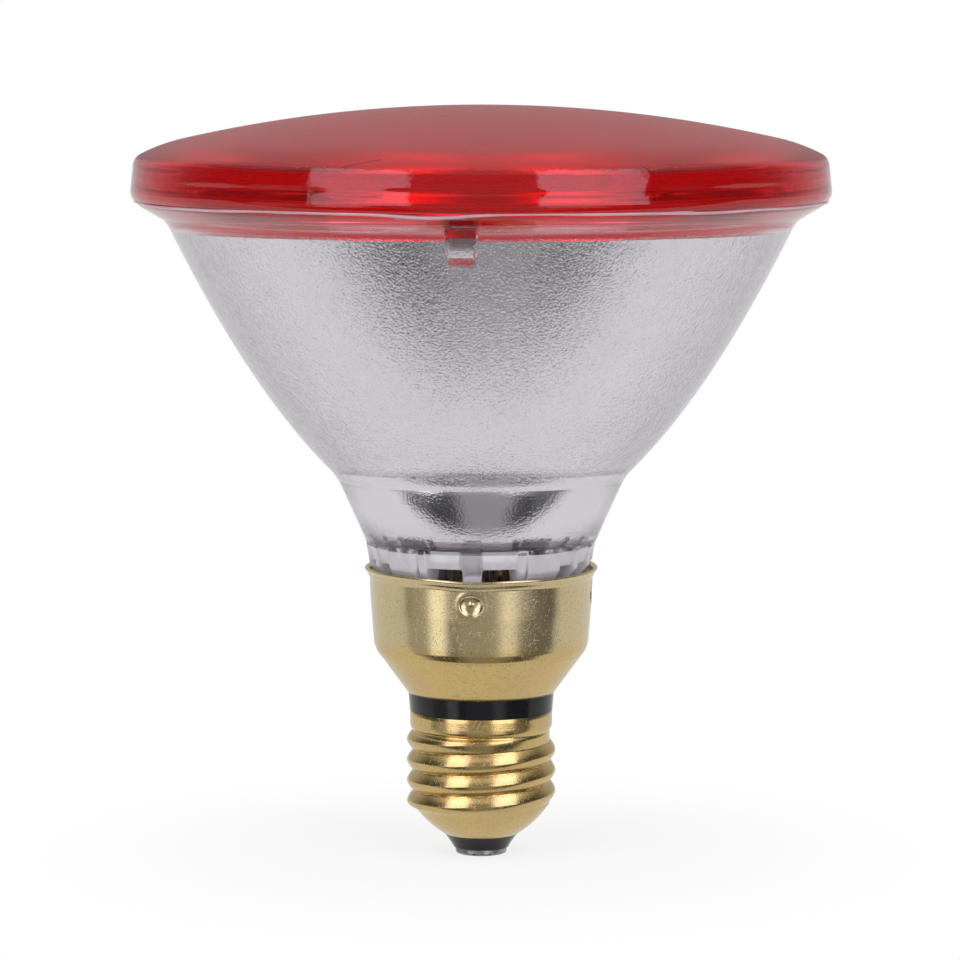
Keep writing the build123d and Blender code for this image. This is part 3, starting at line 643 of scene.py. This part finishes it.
bare_floor = lug_legs(
    (4, (13.6, NECK_FLOOR), (15.4, NECK_FLOOR)),
    (4, (15.4, NECK_FLOOR), (17.2, NECK_FLOOR)),
    (4, (17.2, NECK_FLOOR), (17.7, FOOT_Z)),
    (6, (17.7, FOOT_Z), (19.2, FOOT_Z)),
    (6, (19.2, FOOT_Z), (20.2, NECK_FLOOR + 1.75)),
)
lug_floor = lug_legs(
    (4, (15.4, NECK_FLOOR), (15.5, LUG_BOTTOM + 0.3)),
    (4, (15.5, LUG_BOTTOM + 0.3), (18.2, LUG_BOTTOM)),
    (4, (18.2, LUG_BOTTOM), (18.3, LUG_BOTTOM + 4.0)),
    (6, (18.3, LUG_BOTTOM + 4.0), (19.7, LUG_BOTTOM + 5.9)),
    (6, (19.7, LUG_BOTTOM + 5.9), (20.25, LUG_BOTTOM + 9.65)),
)
nib_floor = lug_legs(
    (4, (13.5, NECK_FLOOR), (13.5, LUG_BOTTOM)),
    (4, (13.5, LUG_BOTTOM), (18.0, LUG_BOTTOM + 0.2)),
    (4, (18.0, LUG_BOTTOM + 0.2), (17.9, LUG_BOTTOM + 5.3)),
    (6, (17.9, LUG_BOTTOM + 5.3), (15.7, LUG_BOTTOM + 5.6)),
    (6, (17.7, FOOT_Z), (20.2, NECK_FLOOR + 1.75)),
)


def reflector_outline():
    """Underside of the floor, neck, ridge, bowl, flange, rim and the inside."""
    pen = Outline(0.0, NECK_FLOOR)
    pen.line(13.0, NECK_FLOOR, FLOOR_STEPS)
    pen.points.extend(map(tuple, bare_floor))
    pen.line(20.35, NECK_FLOOR + 2.1, 1)
    pen.bend(24.95, NECK_FLOOR + 12.3, 18)
    pen.line(RIDGE_R - 0.25, BOWL_OUTER_VERTEX + RIDGE_R**2 / BOWL_OUTER_4F - 0.45, 3)
    pen.bend(RIDGE_R + 0.1, BOWL_OUTER_VERTEX + (RIDGE_R + 0.1) ** 2 / BOWL_OUTER_4F, 4)
    pen.parabola(bowl_radius(TAB_BOTTOM - 0.05), BOWL_OUTER_4F, BOWL_OUTER_VERTEX, 36)
    pen.parabola(bowl_radius(TAB_BOTTOM + 0.1), BOWL_OUTER_4F, BOWL_OUTER_VERTEX, 1)
    pen.parabola(bowl_radius(TAB_BOTTOM + TAB_BEVEL), BOWL_OUTER_4F, BOWL_OUTER_VERTEX, 5)
    pen.parabola(BOWL_TOP_R, BOWL_OUTER_4F, BOWL_OUTER_VERTEX, 6)
    pen.bend(55.4, RIM_Z - 2.95, 8)
    pen.line(FLANGE_R - 0.7, RIM_Z - 0.7, 8)
    pen.bend(FLANGE_R, RIM_Z, 5)
    pen.line(SEAT_R, RIM_Z, 3)
    pen.line(sqrt(BOWL_INNER_4F * (RIM_Z - BOWL_INNER_VERTEX)), RIM_Z, 3)
    pen.parabola(BEVEL_TOP_R, BOWL_INNER_4F, BOWL_INNER_VERTEX, 34)
    heel_centre = (
        HEEL_TOP[0] - HEEL_WALL_R * cos(radians(HEEL_TOP_DIP)),
        HEEL_TOP[1] + HEEL_WALL_R * sin(radians(HEEL_TOP_DIP)),
    )
    for dip in np.linspace(HEEL_TOP_DIP, HEEL_FOOT_DIP, 14):
        reach = HEEL_WALL_R - FILM_COVER
        pen.line(
            heel_centre[0] + reach * cos(radians(dip)), heel_centre[1] - reach * sin(radians(dip))
        )
    reach = HEEL_WALL_R - HEEL_CORNER
    corner = (
        heel_centre[0] + reach * cos(radians(HEEL_FOOT_DIP)),
        heel_centre[1] - reach * sin(radians(HEEL_FOOT_DIP)),
    )
    pen.bend(corner[0], corner[1] - HEEL_CORNER + FILM_COVER, 8)
    pen.line(0.0, corner[1] - HEEL_CORNER + FILM_COVER, 6)
    return pen


# where bare_floor's points lie in the outline
FLOOR_START = FLOOR_STEPS + 1
FLOOR_END = FLOOR_START + len(bare_floor)


def arc_distance(azimuth, centre, radius):
    """Millimetres round the axis from a centre line."""
    return np.abs(np.radians(turned(azimuth, centre))) * radius


def lug_weight(azimuth):
    """How fully each azimuth is a lug or rib, and how fully a nib, from 0 to 1."""
    lug = np.zeros_like(azimuth)
    nib = np.zeros_like(azimuth)
    for side in (-1, 1):
        for offset, width in [(o, LUG_WIDTH) for o in WIDE_LUGS] + [(o, RIB_WIDTH) for o in RIBS]:
            away = arc_distance(azimuth, DIMPLE_AZIMUTH + side * offset, LUG_MIDDLE_R)
            lug = np.maximum(lug, smoothstep(-away, -width / 2 - 0.25, -width / 2 + 0.25))
    for quadrant in QUADRANTS:
        away = arc_distance(azimuth, DIMPLE_AZIMUTH + quadrant, NIB_MIDDLE_R)
        nib = np.maximum(nib, smoothstep(-away, -1.85, -1.35))
    return lug, nib


def tab_weight(azimuth, height):
    """How fully a point belongs to the locating tab, whose sides converge downwards."""
    rise = np.clip((height - TAB_BOTTOM) / (TAB_TOP - TAB_BOTTOM), 0.0, 1.0)
    half_width = TAB_FOOT_HALF_WIDTH + TAB_SPREAD * rise
    away = arc_distance(azimuth, TAB_AZIMUTH, TAB_MIDDLE_R)
    across = smoothstep(-away, -half_width - 0.2, -half_width + 0.2)
    return across * (height > TAB_BOTTOM) * (height < RIM_Z - 0.5)


def reflector_shape(azimuth, radius, height, index):
    """Raise the lugs, nibs and tab from the plain lathed bowl."""
    lug, nib = lug_weight(azimuth)
    stretch = (index >= FLOOR_START) & (index < FLOOR_END)
    step = np.clip(index - FLOOR_START, 0, len(bare_floor) - 1)
    for weight, shape in ((lug, lug_floor), (nib, nib_floor)):
        radius = np.where(stretch, radius + weight * (shape[step, 0] - bare_floor[step, 0]), radius)
        height = np.where(stretch, height + weight * (shape[step, 1] - bare_floor[step, 1]), height)
    outside = index > FLOOR_END
    bevel = TAB_FACE_R - np.clip(TAB_BOTTOM + TAB_BEVEL - height, 0.0, TAB_BEVEL)
    tab = tab_weight(azimuth, height) * outside * (radius > bowl_radius(TAB_BOTTOM) - 0.3)
    tab = tab * (radius > bowl_radii(height) - 0.5)
    radius = radius + tab * np.clip(bevel - radius, 0.0, None)
    return radius, height


def reflector_marks(azimuth, radius, height, index):
    """Only the bowl's outside is pebbled, and not the tab; the tab's face carries a mark for painted shade,
    rising towards its top.
    """
    on_outside = radius > bowl_radii(height) - 0.4
    band = smoothstep(height, NECK_FLOOR + 13.4, NECK_FLOOR + 14.0)
    band = band * smoothstep(-height, -RIM_Z + 3.0, -RIM_Z + 3.6)
    tab = tab_weight(azimuth, height)
    return {
        "pebble": band * on_outside * (1 - tab),
        # the tab mark places painted shade: it darkens the clear glass tab, most towards its top
        "tab": tab * on_outside * smoothstep(height, TAB_BOTTOM + 1.0, TAB_TOP - 2.2),
    }


lug_edges = [
    (DIMPLE_AZIMUTH + side * offset + edge, 1.3)
    for side in (-1, 1)
    for offset, half_angle in [(o, LUG_HALF_ANGLE) for o in WIDE_LUGS] + [(o, RIB_HALF_ANGLE) for o in RIBS]
    for edge in (-half_angle, half_angle)
]
nib_edges = [
    (DIMPLE_AZIMUTH + quadrant + edge, 1.3)
    for quadrant in QUADRANTS
    for edge in (-NIB_HALF_ANGLE, NIB_HALF_ANGLE)
]
tab_edges = [(TAB_AZIMUTH + edge, 0.75) for edge in (-TAB_HALF_ANGLE, TAB_HALF_ANGLE)]
reflector_azimuths = azimuth_grid(216, lug_edges + nib_edges + tab_edges, 0.32)
reflector = lathe(
    "reflector_glass", reflector_outline(), reflector_azimuths, reflector_shape, reflector_marks, 40.0
)
place_piece(reflector, "clear_glass", "reflector")
fuse_faces(reflector, RIM_Z - 0.05, RIM_Z + 0.05, SEAT_R, FLANGE_R)
repaint(reflector, "moulded_glass", lambda face: face.center.z < (NECK_FLOOR + 1.2) * MM)

# ---------------------------------------------------------------- fused seam


def seam_outline():
    """A flat ring between the glasses with a soft bead at its outer edge."""
    pen = Outline(SEAT_R, RIM_Z + 0.02)
    pen.line(FLANGE_R - 0.1, RIM_Z + 0.02, 3)
    pen.heading = (0.6, -0.8)
    pen.bend(FLANGE_R + 0.35, RIM_Z + 0.2, 8)
    pen.bend(FLANGE_R - 0.1, LENS_BOTTOM - 0.02, 6)
    pen.line(SEAT_R, LENS_BOTTOM - 0.02, 3)
    return pen


def seam_waver(azimuth, radius, height, index):
    """The bead rises and sags round the rim, lowest by the tab."""
    angle = np.radians(azimuth)
    wave = 0.12 * np.sin(3 * angle + 0.4) + 0.07 * np.sin(8 * angle) + 0.05 * np.sin(17 * angle + 1.0)
    by_tab = -0.55 * np.exp(-((turned(azimuth, TAB_AZIMUTH - 5.0) / 7.0) ** 2))
    edge = smoothstep(radius, FLANGE_R - 0.4, FLANGE_R + 0.1)
    return radius, height + edge * (wave + by_tab)


seam = lathe("rim_seam", seam_outline(), azimuth_grid(288), seam_waver)
place_piece(seam, "seal_glass", "rim_seal")
fuse_faces(seam, RIM_Z - 0.05, LENS_BOTTOM + 0.05, SEAT_R - 0.1, FLANGE_R - 0.1)

# ---------------------------------------------------------------- skirt

SHEET = 0.4
DIMPLE_Z = LIP_Z - 4.4
DIMPLE_R = 2.1
DIMPLE_DEPTH = 0.8
DIMPLE_MIDDLE_R = 19.4
COLLAR_RISE = 0.05
NIPPLE_RISE = 0.28
CONE_STEPS = 10


def skirt_side(pen, inset, upward):
    """The skirt's side between foot and lip, outside or moved in by the sheet's thickness."""
    stations = [
        (12.9, SKIRT_BOTTOM, 1), (17.3, LIP_Z - 16.15, CONE_STEPS), (17.95, LIP_Z - 15.35, 4),
        (18.45, LIP_Z - 14.5, 4), (18.75, LIP_Z - 13.6, 4), (18.87, LIP_Z - 12.6, 4),
        (19.28, DIMPLE_Z - 2.8, 8), (19.52, LIP_Z - 1.8, 50),
        (19.8, LIP_Z - 1.3, 5), (19.98, LIP_Z - 0.8, 3),
    ]
    if not upward:
        counts = [station[2] for station in stations[1:]] + [1]
        stations = [(r, z, n) for (r, z, _), n in zip(stations, counts)][::-1]
    for radius, height, count in stations:
        pen.line(radius - inset, height, count)


def skirt_outline():
    """Outside from the foot to the lip, over the rolled bead and down the inside."""
    pen = Outline(12.7, SKIRT_BOTTOM - 0.01)
    skirt_side(pen, 0.0, True)
    pen.heading = (0.75, 0.66)
    pen.bend(LIP_R, LIP_Z - 0.4, 5)
    pen.bend(LIP_R - 0.4, LIP_Z, 6)
    pen.bend(LIP_R - 0.78, LIP_Z - 0.45, 6)
    skirt_side(pen, SHEET, False)
    return pen


def skirt_shape(azimuth, radius, height, index):
    """Four punched dimples with a small nipple at the bottom, and a lip that isn't quite level."""
    for quadrant in QUADRANTS:
        centre = DIMPLE_AZIMUTH + quadrant
        across = np.radians(turned(azimuth, centre)) * DIMPLE_MIDDLE_R
        up = height - DIMPLE_Z
        away = np.hypot(across, up)
        cup = DIMPLE_DEPTH * np.clip(1 - (away / DIMPLE_R) ** 2, 0.0, None) ** 0.7
        collar = COLLAR_RISE * np.exp(-(((away - 2.35) / 0.4) ** 2))
        peak = NIPPLE_RISE * np.exp(-((away / 0.45) ** 2))
        radius = radius - cup + collar + peak
    angle = np.radians(azimuth)
    level = smoothstep(height, LIP_Z - 5.0, LIP_Z - 0.3)
    sag = 0.12 * np.sin(2 * angle + 0.5) - 0.12
    by_dimple = -0.3 * np.exp(-((turned(azimuth, DIMPLE_AZIMUTH) / 14.0) ** 2))
    return radius, height + level * (sag + by_dimple)


dimple_stretches = [(DIMPLE_AZIMUTH + quadrant, 8.5) for quadrant in QUADRANTS]
skirt = lathe(
    "brass_skirt", skirt_outline(), azimuth_grid(216, dimple_stretches, 0.35), skirt_shape, sharp=60.0
)
place_piece(skirt, "brass_sheet", "skirt")

# ---------------------------------------------------------------- screw shell

PITCH = 3.629
ROOT_R = CREST_R - 1.05
TUBE_STEPS = 110
THREAD_BOTTOM = SHELL_BOTTOM + 4.6
THREAD_TOP = COLLAR_TOP - 3.2
FIRST_CREST = SHELL_BOTTOM + 5.8
COLLAR_R = 12.5


def shell_outline():
    """Mouth, cone, threaded tube and collar, then back down the inside of the sheet."""
    pen = Outline(6.6, SHELL_BOTTOM)
    pen.heading = (0.85, 0.53)
    pen.bend(ROOT_R - 0.35, THREAD_BOTTOM + 0.2, 10)
    pen.line(ROOT_R, THREAD_BOTTOM + 0.7, 2)
    pen.line(ROOT_R, THREAD_TOP - 0.3, TUBE_STEPS)
    pen.line(COLLAR_R - 0.1, THREAD_TOP + 0.25, 4)
    pen.line(COLLAR_R, THREAD_TOP + 0.6, 2)
    pen.line(COLLAR_R, COLLAR_TOP - 0.2, 4)
    pen.line(COLLAR_R - 0.15, COLLAR_TOP, 2)
    pen.line(COLLAR_R - SHEET, COLLAR_TOP, 1)
    pen.line(ROOT_R - SHEET, THREAD_TOP - 0.1, 4)
    pen.line(ROOT_R - SHEET, THREAD_BOTTOM + 0.9, TUBE_STEPS)
    pen.line(ROOT_R - SHEET - 0.35, THREAD_BOTTOM + 0.4, 2)
    pen.bend(6.5, SHELL_BOTTOM + 0.35, 10)
    return pen


def shell_thread(azimuth, radius, height, index):
    """A rolled thread: broad rounded crests, narrow valleys, fading out at both ends."""
    turn = turned(azimuth, 180.0) / 360.0
    phase = (height - FIRST_CREST) / PITCH - turn
    from_crest = 2 * np.abs(phase - np.round(phase))
    crest = 1 - from_crest**1.5
    crest_height = FIRST_CREST + (turn + np.round(phase)) * PITCH
    start = smoothstep(crest_height, THREAD_BOTTOM - 0.6, THREAD_BOTTOM + 1.2)
    start = start * smoothstep(height, THREAD_BOTTOM - 0.2, THREAD_BOTTOM + 0.6)
    end = smoothstep(-crest_height, -THREAD_TOP + 0.2, -THREAD_TOP + 1.8)
    end = end * smoothstep(-height, -THREAD_TOP + 0.1, -THREAD_TOP + 0.9)
    on_tube = radius > ROOT_R - 1.0
    return radius + (CREST_R - ROOT_R) * crest * start * end * on_tube, height


screw_shell = lathe("threaded_shell", shell_outline(), azimuth_grid(216), shell_thread, sharp=60.0)
place_piece(screw_shell, "brass_sheet", "screw_shell")

# ---------------------------------------------------------------- studio

CAMERA_RAY_TONE = 1.0
TABLE_TONE = 0.8
TABLE_EDGE = 0.44
DARK_TONE = 0.07
FACING_TONE = 0.31
BACKDROP_TONE = 0.55
CEILING_TONE = 0.71
BOX_TONE = 2.35
LEFT_GLOW_TONE = 1.35
RIGHT_GLOW_TONE = 0.75
SIDE_TONE = 0.38
FAINT_TONE = SIDE_TONE * 0.3
TO_LAMP = (0.0, 0.994, -0.107)
# turns and tilts of the surfaces that mirror each light to the front, in degrees
LEFT_BOX_TURNS = (-28.5, -11.5)
RIGHT_BOX_TURNS = (9.2, 27.3)
BOX_TILTS = (-1.0, 42.0)
GLOW_TILTS = (-11.0, -1.0)
SIDE_TILTS = (-12.0, 2.0)
CAMERA_LENS = 161.6
CAMERA_SENSOR = 36.0
CAMERA_DIP = 6.13
CAMERA_PLACE = (-0.0002, -0.75, (LENS_TOP + 15.1) * MM)


def studio_world():
    """A white table under and behind the lamp, a dark room in front and two soft boxes.

    The table's front edge is a little in front of the lamp, so light comes from below wherever a
    direction falls on the table before it passes that edge.
    """
    world = bpy.data.worlds.new("studio")
    world.use_nodes = True
    scene.world = world
    graph = Graph(world.node_tree)
    direction = graph.tree.nodes.new("ShaderNodeTexCoord").outputs["Generated"]
    x, y, z = graph.split(direction)
    forward = graph.math("MULTIPLY", y, -1.0)
    azimuth = graph.math("ARCTAN2", x, forward)
    elevation = graph.math("ARCSINE", z)
    down = graph.math("MULTIPLY", z, -1.0)

    past_edge = graph.math("SUBTRACT", forward, graph.math("MULTIPLY", down, TABLE_EDGE))
    table = graph.smooth(past_edge, -0.035, 0.035, TABLE_TONE, 0.0)
    below = graph.smooth(elevation, radians(-3), radians(2), 1.0, 0.0)
    from_front = graph.math("ABSOLUTE", azimuth)
    backdrop = graph.smooth(from_front, radians(95), radians(145), 0.08, BACKDROP_TONE)
    ceiling = graph.smooth(elevation, radians(22), radians(55), 0.0, CEILING_TONE)
    above = graph.math("MAXIMUM", backdrop, ceiling)
    facing = graph.math(
        "MULTIPLY",
        graph.smooth(azimuth, radians(-32), radians(-18), 0.0, FACING_TONE - DARK_TONE),
        graph.smooth(azimuth, radians(26), radians(42), 1.0, 0.0),
    )
    dark = graph.math("ADD", facing, DARK_TONE)
    room = graph.math(
        "ADD",
        graph.math("MULTIPLY", below, graph.math("MAXIMUM", table, dark)),
        graph.math(
            "MULTIPLY", graph.math("SUBTRACT", 1.0, below), graph.math("MAXIMUM", above, dark)
        ),
    )
    # the lights are wrapped round the lamp: each is laid out by the turn and the tilt of the surface
    # that mirrors it to the front
    halfway = graph.tree.nodes.new("ShaderNodeVectorMath")
    halfway.operation = "SUBTRACT"
    graph.feed(halfway.inputs[0], direction)
    halfway.inputs[1].default_value = TO_LAMP
    unit = graph.tree.nodes.new("ShaderNodeVectorMath")
    unit.operation = "NORMALIZE"
    graph.feed(unit.inputs[0], halfway.outputs[0])
    across, toward, up = graph.split(unit.outputs[0])
    turn = graph.math("ARCTAN2", across, graph.math("MULTIPLY", toward, -1.0))
    tilt = graph.math("ARCSINE", up)

    def patch(turns, tilts, side_blur, end_blur):
        """A soft-edged patch between two turns and two tilts, in degrees."""
        (left, right), (bottom, top) = turns, tilts
        edges = (
            graph.smooth(turn, radians(left - side_blur), radians(left + side_blur)),
            graph.smooth(turn, radians(right - side_blur), radians(right + side_blur), 1.0, 0.0),
            graph.smooth(tilt, radians(bottom - end_blur), radians(bottom + end_blur)),
            graph.smooth(tilt, radians(top - end_blur), radians(top + end_blur), 1.0, 0.0),
        )
        shape = edges[0]
        for edge in edges[1:]:
            shape = graph.math("MULTIPLY", shape, edge)
        return shape

    boxes = graph.math(
        "ADD", patch(LEFT_BOX_TURNS, BOX_TILTS, 0.6, 1.2), patch(RIGHT_BOX_TURNS, BOX_TILTS, 0.6, 1.2)
    )
    lit = graph.math("MULTIPLY", boxes, BOX_TONE)
    for shape, tone in (
        (patch((-28.0, -18.5), GLOW_TILTS, 1.6, 1.2), LEFT_GLOW_TONE),
        (patch((10.0, 20.0), GLOW_TILTS, 2.4, 1.2), RIGHT_GLOW_TONE),
        (patch((-40.0, -29.0), SIDE_TILTS, 2.0, 2.0), SIDE_TONE),
        (patch((21.0, 38.0), SIDE_TILTS, 2.0, 2.0), FAINT_TONE),
        (patch((-18.0, 10.0), GLOW_TILTS, 1.5, 1.2), FAINT_TONE),
    ):
        lit = graph.math("ADD", lit, graph.math("MULTIPLY", shape, tone))
    strength = graph.math("ADD", room, lit)
    seen = graph.tree.nodes.new("ShaderNodeLightPath").outputs["Is Camera Ray"]
    background = graph.tree.nodes["Background"]
    graph.feed(background.inputs["Strength"], graph.smooth(seen, 0.0, 1.0, strength, CAMERA_RAY_TONE))
    tint = graph.math("MULTIPLY", boxes, graph.math("SUBTRACT", 1.0, seen))
    graph.feed(background.inputs["Color"], graph.blend(tint, (1.0, 1.0, 1.0, 1), (0.93, 0.86, 1.0, 1)))


def studio_floor():
    """A pale floor that fades into the background. Only the camera sees it."""
    mesh = bpy.data.meshes.new("floor")
    work = bmesh.new()
    bmesh.ops.create_circle(work, cap_ends=True, segments=96, radius=6.0)
    work.to_mesh(mesh)
    work.free()
    floor = bpy.data.objects.new("floor", mesh)
    scene.collection.objects.link(floor)
    surface = Surface("floor", Roughness=0.9)
    surface.shader.inputs["Base Color"].default_value = (0.9, 0.9, 0.9, 1.0)
    surface.shader.inputs["Specular IOR Level"].default_value = 0.0
    glow = surface.tree.nodes.new("ShaderNodeEmission")
    glow.inputs["Strength"].default_value = CAMERA_RAY_TONE
    x, y, _ = surface.split(surface.place)
    squares = surface.math("MULTIPLY", x, x), surface.math("MULTIPLY", y, y)
    away = surface.math("SQRT", surface.math("ADD", *squares))
    fade = surface.tree.nodes.new("ShaderNodeMixShader")
    surface.feed(fade.inputs[0], surface.smooth(away, 0.02, 0.09, 0.8, 1.0))
    surface.feed(fade.inputs[1], surface.shader.outputs[0])
    surface.feed(fade.inputs[2], glow.outputs[0])
    surface.feed(surface.tree.nodes["Material Output"].inputs[0], fade.outputs[0])
    mesh.materials.append(surface.material)
    for ray in ("diffuse", "glossy", "transmission", "shadow"):
        setattr(floor, f"visible_{ray}", False)


def studio_camera():
    """In front of the lamp, a little above its top, looking slightly down."""
    data = bpy.data.cameras.new("camera")
    data.lens = CAMERA_LENS
    data.sensor_width = CAMERA_SENSOR
    camera = bpy.data.objects.new("camera", data)
    camera.location = CAMERA_PLACE
    camera.rotation_euler = (radians(90 - CAMERA_DIP), 0.0, 0.0)
    scene.collection.objects.link(camera)
    scene.camera = camera


studio_world()
studio_floor()
studio_camera()

scene.view_settings.view_transform = "Standard"
scene.cycles.max_bounces = 24
scene.cycles.glossy_bounces = 12
scene.cycles.transmission_bounces = 20
scene.cycles.sample_clamp_indirect = 6.0
